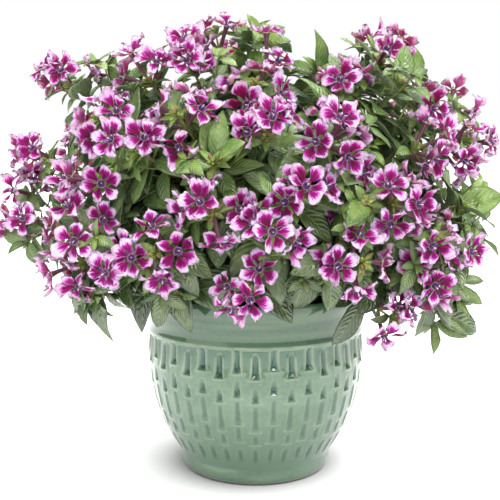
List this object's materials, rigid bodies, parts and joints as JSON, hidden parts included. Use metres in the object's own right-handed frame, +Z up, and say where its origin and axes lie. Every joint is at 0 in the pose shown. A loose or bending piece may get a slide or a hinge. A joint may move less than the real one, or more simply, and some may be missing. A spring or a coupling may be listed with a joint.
{
  "type": "potted plant",
  "caption": "Potted cuphea in flower: white-edged magenta blooms and dark pointed leaves spill over a round glazed planter with a plain flared rim and carved sides.",
  "frame": {"origin": "centre of the planter's foot, on the surface it stands on", "axes": "+Z is up, -Y is the front that the picture shows, +X is that view's right"},
  "size_m": [0.4217, 0.3335, 0.3934],
  "materials": {
    "pot_glaze": "gloss",
    "soil": "matte",
    "leaf_green": "satin",
    "petal_purple": "matte"
  },
  "bodies": {
    "root": {"planter": "pot_glaze", "potting_soil": "soil", "leafy_stem_left_low": "leaf_green", "leafy_stem_left_top": "leaf_green", "leafy_stem_front_left_low": "leaf_green", "leafy_stem_front_left": "leaf_green", "leafy_stem_middle": "leaf_green", "leafy_stem_front": "leaf_green", "leafy_stem_front_right": "leaf_green", "leafy_stem_right_top": "leaf_green", "leafy_stem_right_low": "leaf_green", "leafy_stem_back_left": "leaf_green", "leafy_stem_back": "leaf_green", "leafy_stem_back_right": "leaf_green", "spray_1": "petal_purple", "spray_2": "petal_purple", "spray_3": "petal_purple", "spray_4": "petal_purple", "spray_6": "petal_purple", "spray_7": "petal_purple", "spray_8": "petal_purple", "spray_9": "petal_purple", "spray_10": "petal_purple", "spray_11": "petal_purple", "spray_12": "petal_purple", "spray_14": "petal_purple", "spray_15": "petal_purple", "spray_16": "petal_purple", "spray_18": "petal_purple", "spray_19": "petal_purple", "spray_20": "petal_purple", "spray_22": "petal_purple", "spray_23": "petal_purple", "spray_24": "petal_purple", "spray_25": "petal_purple", "spray_27": "petal_purple", "spray_28": "petal_purple", "spray_29": "petal_purple", "spray_30": "petal_purple", "spray_32": "petal_purple", "spray_33": "petal_purple", "spray_34": "petal_purple", "spray_35": "petal_purple", "spray_37": "petal_purple", "spray_38": "petal_purple", "spray_39": "petal_purple", "spray_40": "petal_purple", "spray_43": "petal_purple", "spray_44": "petal_purple", "spray_45": "petal_purple", "spray_46": "petal_purple", "spray_48": "petal_purple", "spray_49": "petal_purple", "spray_50": "petal_purple", "spray_51": "petal_purple", "spray_53": "petal_purple", "spray_54": "petal_purple", "spray_55": "petal_purple", "spray_56": "petal_purple", "spray_57": "petal_purple"}
  },
  "joints": []
}
